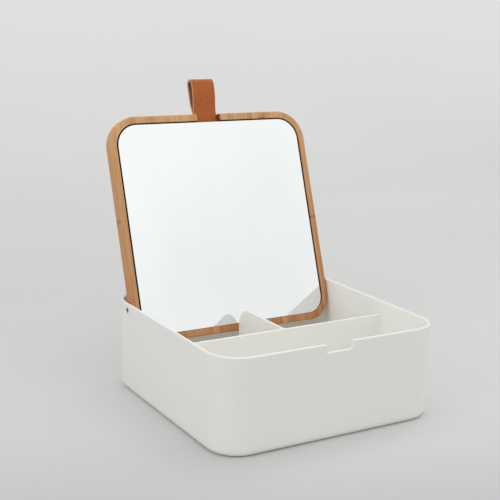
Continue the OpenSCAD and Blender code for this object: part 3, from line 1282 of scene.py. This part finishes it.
@dataclass
class Board:
    """Bamboo lid board with a mirror pocket, a slot and recess for the strap, and blind bores."""

    frame: LidFrame
    width: float = 184.0
    length: float = 184.0
    front_r: float = 25.0
    rear_r: float = 21.5
    centre_y: float = -PIN_Y
    corner_steps: int = 24
    half_t: float = 5.0
    edge_r: float = 1.5
    edge_steps: int = 7
    rim: float = 5.9
    lip: float = 0.3
    beside: float = 0.3
    pocket_z: float = -0.3
    front_stations: tuple[float, ...] = (20.0, 40.0)
    slot_half: float = 10.75
    slot_middle: float = 5.5
    slot_points: int = 5
    slot_z: float = 3.4
    slot_reach: float = 33.0
    slot_end_share: float = 0.04
    hub_reach: float = 50.0
    fan_depth: float = 15.0
    bore_r: float = 2.25
    bore_depth: float = 5.0
    bore_half: float = 5.0
    bore_top: float = 3.2
    bore_rows: int = 8
    broken_edge: float = 0.18

    def outline(self) -> Outline:
        """Works out the board's outline, with doubled points at the sides of the slot.

        Returns:
            The outline.
        """
        s, beside = self.slot_half, np.array(self.front_stations)
        slot = [-s, -s, -self.slot_middle, 0.0, self.slot_middle, s, s]
        front = np.concatenate([-beside[::-1], slot, beside])
        stations = wall_stations(front, self.bore_half)
        sizes = (self.width, self.length, self.front_r, self.rear_r, self.centre_y)
        return rounded_outline(*sizes, stations, self.corner_steps)

    def rows(self, outline: Outline) -> tuple[list[np.ndarray], dict[str, int]]:
        """The board's section, from the middle of the outer face round to the pocket's middle.

        Args:
            outline: The board's outline.

        Returns:
            The rows, and the numbers of the slot's first and last row, of the bores' first row
            and of the first row inside the pocket.
        """
        level, t, e, marks = outline.inset, self.half_t, self.edge_r, {}
        near, fan, pocket, lip = self.beside, self.fan_depth, self.pocket_z, self.rim - self.lip
        rows = outline.middle_rows(self.hub_reach, t)
        rows += [level(fan, t), level(e + near, t)]
        arc = quarter(self.edge_steps)
        rows += [level(e * (1 - math.sin(a)), t - e * (1 - math.cos(a))) for a in arc]
        marks["slot"] = len(rows)
        rows += [level(0.0, self.slot_z)]
        marks["bores"] = len(rows)
        heights = np.linspace(self.bore_top, -self.bore_top, self.bore_rows + 1)
        rows += [level(0.0, z) for z in heights]
        rows += [level(e * (1 - math.cos(a)), -(t - e) - e * math.sin(a)) for a in arc]
        rows += [level(e + near, -t), level(lip - near, -t), level(lip, -t)]
        marks["pocket"] = len(rows) + 1
        rows += [level(self.rim, -t + self.lip), level(self.rim, -t + self.lip + near)]
        rows += [level(self.rim, pocket - near), level(self.rim, pocket)]
        rows += [level(self.rim + near, pocket), level(fan, pocket)]
        stop = (self.slot_reach - fan) / (self.length / 2 - self.hub_reach - fan)
        shares = (stop - self.slot_end_share, stop + self.slot_end_share)
        rows += [outline.between(fan, self.hub_reach, pocket, share) for share in shares]
        marks["slot_end"] = len(rows) - 2
        rows += outline.middle_rows(self.hub_reach, pocket)[::-1]
        return rows, marks

    def build(self) -> bpy.types.Object:
        """Makes the board's mesh.

        The section is carried round the outline. Where the slot crosses the free edge, the rows
        between the slot's floor and the pocket's lie on the slot's floor instead, and the
        doubled columns there become the slot's sides.

        Returns:
            The board, with the pocket's walls and floor in the second material and the slot in the
            third; both are dark finishes of painted shade.
        """
        outline = self.outline()
        rows, marks = self.rows(outline)
        grid = np.stack(rows)
        # The slot's own columns start at the second of its doubled ones
        first = outline.starts[Side.FRONT] + 2 + len(self.front_stations)
        slot, last = slice(first, first + self.slot_points), marks["slot_end"]
        slot_rows = slice(marks["slot"], last + 1)
        share = np.linspace(0, 1, last + 1 - marks["slot"])
        edge_y = outline.points[slot, 1]
        grid[slot_rows, slot, 1] = edge_y + self.slot_reach * share[:, None]
        grid[slot_rows, slot, 2] = self.slot_z
        grid[last + 1, slot, 1] = edge_y + self.slot_reach
        finish = np.zeros((len(rows) - 1, len(outline.points)), int)
        # Painted shade: the pocket's walls and floor, and the slot, take dark finishes for the
        # shade in these recesses
        finish[marks["pocket"] :] = 1
        finish[slot_rows, slot.start - 1 : slot.stop] = 2
        bore_rows = marks["bores"] + np.arange(self.bore_rows + 1)
        down, pins = slice(bore_rows[0], bore_rows[-1]), outline.pin_columns()
        holes = [(down, slice(columns[0], columns[-1])) for columns in pins.values()]
        skin = Surface()
        numbers = skin.add_grid(self.frame.to_box(grid), finish, holes)
        for way, columns in pins.items():
            mouth = np.array([way * self.width / 2, 0.0, 0.0])
            centre = self.frame.to_box(mouth)
            deep = self.frame.to_box(mouth - [way * self.bore_depth, 0.0, 0.0])
            rim = skin.bore(block_ring(numbers, bore_rows, columns), centre, self.bore_r)
            bottom = skin.add_points(skin.all_points()[rim] + (deep - centre))
            middle = skin.add_points(np.tile(deep, (len(rim), 1)))
            skin.add_strip(rim, bottom)
            skin.add_strip(bottom, middle)
        return soften(skin.make("bamboo_board"), self.broken_edge)


@dataclass
class Glass:
    """Mirror glass with ground edges, silvered behind."""

    frame: LidFrame
    width: float = 169.6
    length: float = 171.0
    centre_y: float = -62.6
    front_r: float = 17.8
    rear_r: float = 14.3
    face_z: float = -4.5
    back_z: float = -1.5
    arris: float = 0.15
    fan_depth: float = 8.0
    hub_reach: float = 50.0

    def build(self) -> bpy.types.Object:
        """Makes the glass: one section from the middle of its face round its edge to its back.

        Returns:
            The glass, with its edge in the second material and its back in the third.
        """
        sizes = (self.width, self.length, self.front_r, self.rear_r, self.centre_y)
        outline = rounded_outline(*sizes)
        level, a, face, back = outline.inset, self.arris, self.face_z, self.back_z
        rows = outline.middle_rows(self.hub_reach, face)
        rows += [level(self.fan_depth, face), level(a, face)]
        edge_first = len(rows) - 1
        rows += [level(0.0, face + a), level(0.0, back - a), level(a, back)]
        edge_last = len(rows) - 1
        rows += [level(self.fan_depth, back)]
        rows += outline.middle_rows(self.hub_reach, back)[::-1]
        finish = np.zeros((len(rows) - 1, len(outline.points)), int)
        finish[edge_first:edge_last] = 1
        finish[edge_last:] = 2
        skin = Surface()
        skin.add_grid(self.frame.to_box(np.stack(rows)), finish)
        return skin.make("mirror_plate")


@dataclass
class Strap:
    """One strip of leather, folded to a loop, with both ends under the mirror."""

    frame: LidFrame
    width: float = 21.0
    leather: float = 1.7
    free_y: float = -155.0
    root_past: float = 1.0
    tail: float = 32.0
    loop_h: float = 31.0
    loop_gap: float = 5.6
    forward: float = 3.7
    front_share: float = 0.8
    rear_share: float = 0.4
    edge_r: float = 0.4
    run_points: int = 50
    bend_points: int = 24
    tail_points: int = 23
    top_points: int = 7
    edge_steps: int = 4
    sharp_deg: float = 50.0

    def centre_line(self) -> np.ndarray:
        """The strip's middle line.

        It runs out from the tail, bulges to the mirror's side, turns back in a half circle and
        comes down behind to lie on itself. Each layer's distance from flat follows a smooth
        step: 3 u squared less 2 u cubed, where u is the share of the way from the root to the
        loop's widest part.

        Returns:
            The line, as Y and Z of the lid's frame.
        """
        t, gap = self.leather, self.loop_gap
        root, tail_y = self.free_y - self.root_past, self.free_y + self.tail
        bend_r = gap / 2 + t
        bend_y, bend_z = self.free_y - self.loop_h + bend_r, bend_r - self.forward
        way = np.linspace(0, 1, self.run_points)
        run_y = root + (bend_y - root) * way

        def swell(share: float) -> np.ndarray:
            """The smooth step along the run, done at a share of it."""
            u = np.minimum(way / share, 1.0)
            return u * u * (3 - 2 * u)

        front = pairs(run_y, t / 2 - self.forward * swell(self.front_share))
        rear = pairs(run_y, 1.5 * t + (gap - self.forward) * swell(self.rear_share))
        angle = np.linspace(0, math.pi, self.bend_points + 2)[1:-1]
        mid_r = gap / 2 + t / 2
        bend = pairs(bend_y - mid_r * np.sin(angle), bend_z - mid_r * np.cos(angle))
        under = np.linspace(tail_y, root, self.tail_points + 1)[:-1]
        out, home = pairs(under, t / 2), pairs(under[::-1], 1.5 * t)
        return np.vstack([out, front, bend, rear[::-1], home])

    def section(self) -> np.ndarray:
        """Works out the flat section with rounded edges.

        Returns:
            Its points, once round, as places across and through it.
        """
        half_w, half_t, r = self.width / 2, self.leather / 2, self.edge_r
        turn = quarter(self.edge_steps)
        quad = pairs(half_w - r + r * np.sin(turn), half_t - r + r * np.cos(turn))
        inner = np.linspace(-half_w + r, half_w - r, self.top_points + 2)[1:-1]
        top = pairs(inner, half_t)
        right = [quad, (quad * [1, -1])[::-1]]
        left = [quad * [-1, -1], (quad * [-1, 1])[::-1]]
        return np.vstack([top, *right, (top * [1, -1])[::-1], *left])

    def build(self) -> bpy.types.Object:
        """Makes the strip: its section, carried along the middle line.

        Returns:
            The strip, with its flesh side in the second material and its edges in the third.
        """
        line = self.centre_line()
        ahead = np.gradient(line, axis=0)
        ahead /= np.linalg.norm(ahead, axis=1, keepdims=True)
        out = np.column_stack([ahead[:, 1], -ahead[:, 0]])
        loop = self.section()
        across, thick = loop.T
        grid = np.empty((len(line), len(loop), 3))
        grid[..., 0] = across
        grid[..., 1:] = line[:, None] + out[:, None] * thick[:, None]
        ends = grid[[0, -1]].mean(axis=1, keepdims=True)
        caps = np.broadcast_to(ends, (2, len(loop), 3))
        grid = np.concatenate([caps[:1], grid, caps[1:]])
        finish = np.zeros((len(grid) - 1, len(loop)), int)
        edge_x = self.width / 2 - self.edge_r * 0.5
        middle = (np.abs(across) < edge_x) & (np.abs(np.roll(across, -1)) < edge_x)
        finish[:, ~middle] = 2
        finish[:, middle & (thick > 0)] = 1
        skin = Surface()
        skin.add_grid(self.frame.to_box(grid), finish)
        return soften(skin.make("leather_pull", self.sharp_deg))


@dataclass
class Pins:
    """Two plain steel pins with rounded outer ends."""

    radius: float = 2.25
    inner_x: float = 87.0
    outer_x: float = 94.8
    end_r: float = 0.5
    dome: float = 0.18
    chamfer: float = 0.3
    beside: float = 0.2
    end_steps: int = 5
    round_points: int = 48

    def build(self) -> bpy.types.Object:
        """Makes both pins: a profile of distance along X and radius, turned about the pin axis.

        Returns:
            The pins, as one piece.
        """
        r, e, tip, start = self.radius, self.end_r, self.outer_x - self.dome, self.inner_x
        profile = [(start, 0.0), (start, r - self.chamfer), (start + self.chamfer, r)]
        profile += [(tip - e - self.beside, r)]
        arc = quarter(self.end_steps)
        profile += [(tip - e + e * math.sin(a), r - e + e * math.cos(a)) for a in arc]
        shares = np.linspace(1, 0, self.end_steps)[1:]
        profile += [(tip + self.dome * (1 - s * s), (r - e) * s) for s in shares]
        along, radius = np.array(profile).T
        angle = np.linspace(0, 2 * math.pi, self.round_points, endpoint=False)
        skin = Surface()
        for way in (1.0, -1.0):
            grid = np.empty((len(along), len(angle), 3))
            grid[..., 0] = way * along[:, None]
            grid[..., 1] = PIN_Y + radius[:, None] * np.cos(angle)
            grid[..., 2] = PIN_Z + radius[:, None] * np.sin(angle)
            skin.add_grid(grid)
        return soften(skin.make("steel_pins"))


# Studio


def direction(azimuth_deg: float, elevation_deg: float) -> Triple:
    """Unit direction from the box: azimuth turns from the front towards the right."""
    az, el = math.radians(azimuth_deg), math.radians(elevation_deg)
    return math.sin(az) * math.cos(el), -math.cos(az) * math.cos(el), math.sin(el)


@dataclass(frozen=True)
class SoftBox:
    """A broad soft light on the sky, brightest in one direction and fading round it."""

    azimuth_deg: float
    elevation_deg: float
    tightness: float
    light: Triple

    def add_to(self, sheet: NodeSheet, way: Socket, bright: Any) -> Socket:
        """Adds the light: the cosine to its direction, raised to a power, times its colour.

        Args:
            sheet: The world's sheet.
            way: Direction of the ray.
            bright: What the sky gives so far.

        Returns:
            What it gives with this light.
        """
        towards = direction(self.azimuth_deg, self.elevation_deg)
        near = sheet.vector("DOT_PRODUCT", {0: way, 1: towards})["Value"]
        spot = sheet.math("POWER", sheet.math("MAXIMUM", near, 0.0), self.tightness)
        tinted = sheet.vector("SCALE", {0: self.light, "Scale": spot})[0]
        return sheet.vector("ADD", {0: tinted, 1: bright})[0]


@dataclass
class Studio:
    """Plain floor that sweeps up behind, soft light and the photograph's camera."""

    azimuth_deg: float = -30.40
    elevation_deg: float = 12.995
    roll_deg: float = 1.182
    place: Triple = (-0.42073, -0.68254, 0.30543)
    lens: float = 76.35
    sensor: float = 36.0
    clip_m: tuple[float, float] = (0.05, 30.0)
    floor_half: float = 3.0
    sweep_start: float = 0.9
    sweep_r: float = 0.7
    sweep_top: float = 3.0
    floor_points: int = 14
    sweep_steps: int = 24
    wall_points: int = 6
    floor_columns: int = 9
    paper: Colour = srgb(209, 209, 208)
    paper_other: Colour = srgb(207, 207, 206)
    # Painted shade: the darker paper towards the camera, and the span over which it comes in
    paper_painted_shade: Colour = srgb(196, 196, 196)
    away_from_camera: Triple = (0.5, 0.86, 1.0)
    painted_shade_span: tuple[float, ...] = (-0.20, -0.09, 1.0, 0.0)
    low_glow: tuple[float, ...] = (-0.10, 0.0, 0.0, 0.045)
    high_glow: tuple[float, ...] = (0.40, 1.80, 0.0, 0.20)
    patch_place: Triple = (0.60, 0.42, 0.0)
    patch_glow: tuple[float, ...] = (0.20, 0.95, 0.05, 0.0)
    sky: Triple = (0.80, 0.80, 0.80)
    boxes: tuple[SoftBox, ...] = (
        SoftBox(-90.0, 35.0, 6.0, (0.0, 0.01, 0.05)),
        SoftBox(-150.0, 65.0, 8.0, (0.35, 0.35, 0.35)),
        SoftBox(120.0, 65.0, 8.0, (1.18, 1.18, 1.18)),
    )
    seen_sky: float = 0.97
    mirrored_sky: float = 1.06
    cloth: Colour = (0.935, 0.945, 0.945, 1.0)
    cloth_bright: Colour = (1.0, 1.01, 1.012, 1.0)
    fold_turn: Triple = (0.0, 0.35, 0.0)
    fold_scale: Triple = (9.0, 9.0, 1.6)
    fold_span: tuple[float, float] = (0.32, 0.62)
    dimmed_below: tuple[float, ...] = (0.33, 0.43, 0.95, 1.0)
    lamp_place: Triple = (-0.60, -0.12, 0.48)
    lamp_size: float = 0.35
    lamp_power: float = 0.45

    def camera(self) -> None:
        """Makes the camera from its direction, roll and place."""
        az, roll = math.radians(self.azimuth_deg), math.radians(self.roll_deg)
        back = np.array(direction(self.azimuth_deg, self.elevation_deg))
        level = np.array([math.cos(az), math.sin(az), 0.0])
        upright = np.cross(back, level)
        right = level * math.cos(roll) + upright * math.sin(roll)
        up = upright * math.cos(roll) - level * math.sin(roll)
        data = bpy.data.cameras.new("camera")
        data.lens, data.sensor_width = self.lens, self.sensor
        data.clip_start, data.clip_end = self.clip_m
        camera = bpy.data.objects.new("camera", data)
        turn = Matrix(np.column_stack([right, up, back]).tolist()).to_4x4()
        camera.matrix_world = Matrix.Translation(self.place) @ turn
        bpy.context.scene.collection.objects.link(camera)
        bpy.context.scene.camera = camera

    def paper_finish(self, effects: Effects) -> bpy.types.Material:
        """Makes the paper's material, which looks brighter behind, as a lit backdrop does.

        Each glow, and the share of the darker paper that is painted shade towards the camera, is a
        distance stretched from one range to another: away from the camera, back and up the sweep,
        or from the patch at the right.

        Args:
            effects: The shared node groups.

        Returns:
            The material.
        """
        coat = Coat("studio_paper", {"Roughness": 0.9, "Specular IOR Level": 0.1})
        sheet, place = coat.sheet, coat.place
        tone = effects.tones(sheet, place, 3.5, 0.8, self.paper, self.paper_other)
        axes = sheet.add("ShaderNodeSeparateXYZ", {0: place}).outputs
        away = sheet.vector("DOT_PRODUCT", {0: place, 1: self.away_from_camera})["Value"]
        to_patch = sheet.vector("DISTANCE", {0: place, 1: self.patch_place})["Value"]
        # Painted shade: share of the darker paper, growing towards the camera
        near = sheet.spread(away, *self.painted_shade_span)
        low = sheet.spread(away, *self.low_glow)
        high = sheet.spread(sheet.math("ADD", axes[1], axes[2]), *self.high_glow)
        patch = sheet.spread(to_patch, *self.patch_glow)
        glow = sheet.math("MULTIPLY", sheet.total(low, high, patch), looked_at(sheet))
        tint = sheet.add("ShaderNodeCombineXYZ", {0: glow, 1: glow, 2: glow}).outputs[0]
        coat.shader.inputs["Emission Strength"].default_value = 1.0
        paper = sheet.mix(near, tone, self.paper_painted_shade)
        return coat.finish({"Base Color": paper, "Emission Color": tint})

    def floor(self, effects: Effects) -> None:
        """Makes the floor: a line of floor, quarter arc and wall, carried along X.

        Args:
            effects: The shared node groups.
        """
        arc, start, r = quarter(self.sweep_steps)[1:], self.sweep_start, self.sweep_r
        flat = pairs(np.linspace(-self.floor_half, start, self.floor_points), 0.0)
        curve = pairs(start + r * np.sin(arc), r * (1 - np.cos(arc)))
        wall = pairs(start + r, np.linspace(r, self.sweep_top, self.wall_points + 1)[1:])
        line = np.vstack([flat, curve, wall])
        x = np.linspace(-self.floor_half, self.floor_half, self.floor_columns)
        grid = np.empty((len(line), len(x), 3))
        grid[..., 0], grid[..., 1:] = x, line[:, None]
        numbers = np.arange(grid[..., 0].size).reshape(grid.shape[:2])
        corners = [numbers[:-1, :-1], numbers[:-1, 1:], numbers[1:, 1:], numbers[1:, :-1]]
        quads = np.stack(corners, axis=-1).reshape(-1, 4)
        mesh = bpy.data.meshes.new("studio_floor")
        mesh.from_pydata(grid.reshape(-1, 3).tolist(), [], quads.tolist())
        mesh.shade_smooth()
        mesh.materials.append(self.paper_finish(effects))
        floor = bpy.data.objects.new("studio_floor", mesh)
        bpy.context.scene.collection.objects.link(floor)

    def sky_light(self) -> None:
        """Makes the world: a sky with soft boxes that lights, and white cloth that is seen."""
        world = bpy.data.worlds.new("studio")
        bpy.context.scene.world = world
        world.use_nodes = True
        world.node_tree.nodes.clear()
        sheet = NodeSheet(world.node_tree)
        place = sheet.add("ShaderNodeTexCoord").outputs["Generated"]
        bright: Any = self.sky
        for box in self.boxes:
            bright = box.add_to(sheet, place, bright)
        lit = sheet.add("ShaderNodeBackground", {"Color": bright, "Strength": 1.0}).outputs[0]
        # Folds of cloth, seen in the mirror: noise drawn out along the height
        inputs = {"Vector": place, "Rotation": self.fold_turn, "Scale": self.fold_scale}
        drawn = sheet.add("ShaderNodeMapping", inputs).outputs[0]
        folds = sheet.spread(sheet.noise(drawn, 1.0, 3.0), *self.fold_span)
        tone = sheet.mix(folds, self.cloth, self.cloth_bright)
        by_mirror = sheet.add("ShaderNodeLightPath").outputs["Is Glossy Ray"]
        level = sheet.spread(by_mirror, 0.0, 1.0, self.seen_sky, self.mirrored_sky)
        height = sheet.add("ShaderNodeSeparateXYZ", {0: place}).outputs[2]
        dimmer = sheet.math("MULTIPLY", level, sheet.spread(height, *self.dimmed_below))
        seen = sheet.add("ShaderNodeBackground", {"Color": tone, "Strength": dimmer}).outputs[0]
        mixed = sheet.add("ShaderNodeMixShader", {0: looked_at(sheet), 1: lit, 2: seen})
        sheet.add("ShaderNodeOutputWorld", {"Surface": mixed.outputs[0]})

    def left_lamp(self) -> None:
        """Makes the soft lamp at the left, which neither the camera nor the mirror sees."""
        data = bpy.data.lights.new("left_lamp", "AREA")
        data.size, data.energy = self.lamp_size, self.lamp_power
        lamp = bpy.data.objects.new("left_lamp", data)
        lamp.visible_camera = lamp.visible_glossy = False
        lamp.location = self.lamp_place
        lamp.rotation_euler = Vector(self.lamp_place).to_track_quat("Z", "Y").to_euler()
        bpy.context.scene.collection.objects.link(lamp)


# Putting together


@dataclass
class VanityBox:
    """The whole box: builds each piece, dresses it and lets it ride on its body."""

    frame: dict[str, Any]
    effects: Effects
    lid: LidFrame = field(default_factory=LidFrame)

    def settle(
        self, piece: bpy.types.Object, body: str, slot: str, node: str, *materials: Any
    ) -> None:
        """Dresses a new piece, says what it rides on and hides the node it stands for.

        Args:
            piece: The piece.
            body: The body it rides on.
            slot: Not used.
            node: The node it replaces.
            *materials: Its materials, by number.
        """
        for material in materials:
            piece.data.materials.append(material)
        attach(piece, body)
        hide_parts(node)
        LOG.info("%s rides on %s", piece.name, body)

    def hides(self) -> list[bpy.types.Material]:
        """Makes the strap's grain side, flesh side and cut edge.

        Returns:
            The three materials, in that order.
        """
        grain, grain_other = srgb(188, 104, 48), srgb(172, 90, 38)
        flesh, flesh_other = srgb(176, 124, 84), srgb(146, 98, 64)
        edge, edge_other = srgb(214, 172, 132), srgb(188, 138, 96)
        kinds = (
            Leather("leather_grain", grain, grain_other, 0.5, 1900.0, 0.035, 0.0),
            Leather("leather_flesh", flesh, flesh_other, 0.85, 2400.0, 0.08, 0.35),
            Leather("leather_edge", edge, edge_other, 0.75, 3200.0, 0.05, 0.30),
        )
        return [kind.build(self.effects, *self.lid.pattern_place()) for kind in kinds]

    def tray_pieces(self) -> None:
        """Builds the tray and its two dividers; the inside and the dividers take a whiter copy of
        the plastic, which is painted light.
        """
        outer = MouldedPlastic().build(self.effects)
        # Painted light: the inside's plastic is a whiter copy of the outside's, for the brighter
        # light inside the box
        tones = (srgb(250, 250, 245), srgb(248, 248, 243))
        inner = MouldedPlastic("white_plastic_painted_light_inside", *tones).build(self.effects)
        tray = Tray()
        dividers = Dividers(tray)
        self.settle(tray.build(), "tray", "tray", "tray_shell", outer, inner)
        self.settle(dividers.cross(), "tray", "dividers", "cross_divider", inner)
        self.settle(dividers.rear(), "tray", "dividers", "rear_divider", inner)

    def lid_pieces(self) -> None:
        """Builds the board, the mirror, the strap and the pins, and dresses the tape's solids."""
        bamboo = StripBamboo(*self.lid.pattern_place()).build(self.effects)
        kinds = (
            # Painted shade: the pocket's near-black brown and the slot's dark red-brown stand in
            # for the shade in these recesses
            PlainFinish("pocket_painted_shade", srgb(58, 38, 25), srgb(42, 27, 18), 0.75, 900.0, 0.05),
            PlainFinish("slot_painted_shade", srgb(142, 84, 52), srgb(122, 68, 40), 0.75, 900.0, 0.05),
            PlainFinish("foam_tape", srgb(70, 70, 72), srgb(52, 52, 54), 0.85, 1800.0, 0.08),
            PlainFinish(
                "pin_steel", srgb(104, 104, 106), srgb(82, 82, 84), 0.38, 2200.0, 0.008, 1.0, 0.4
            ),
        )
        pocket, slot, foam, steel = (kind.build(self.effects) for kind in kinds)
        glass = SilveredGlass().build(self.effects)
        board = Board(self.lid).build()
        self.settle(board, "lid", "lid", "lid_board", bamboo, pocket, slot)
        self.settle(Glass(self.lid).build(), "lid", "mirror", "mirror_glass", *glass)
        self.settle(Strap(self.lid).build(), "lid", "strap", "pull_strap", *self.hides())
        self.settle(Pins().build(), "lid", "pins", "hinge_pins", steel)
        for place in self.frame["nodes"]["mirror_tape"].material_slots:
            place.link = "OBJECT"
            place.material = foam
        LOG.info("mirror_tape keeps its solids and takes the foam finish")


def main() -> None:
    """Builds the studio and the box."""
    logging.basicConfig(level=logging.INFO, format="%(name)s: %(message)s")
    for item in list(bpy.data.objects):
        bpy.data.objects.remove(item)
    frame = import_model()
    effects = Effects()
    studio = Studio()
    studio.camera()
    studio.floor(effects)
    studio.sky_light()
    studio.left_lamp()
    box = VanityBox(frame, effects)
    box.tray_pieces()
    box.lid_pieces()
    bpy.context.scene.view_settings.view_transform = "Standard"


if __name__ == "__main__":
    main()
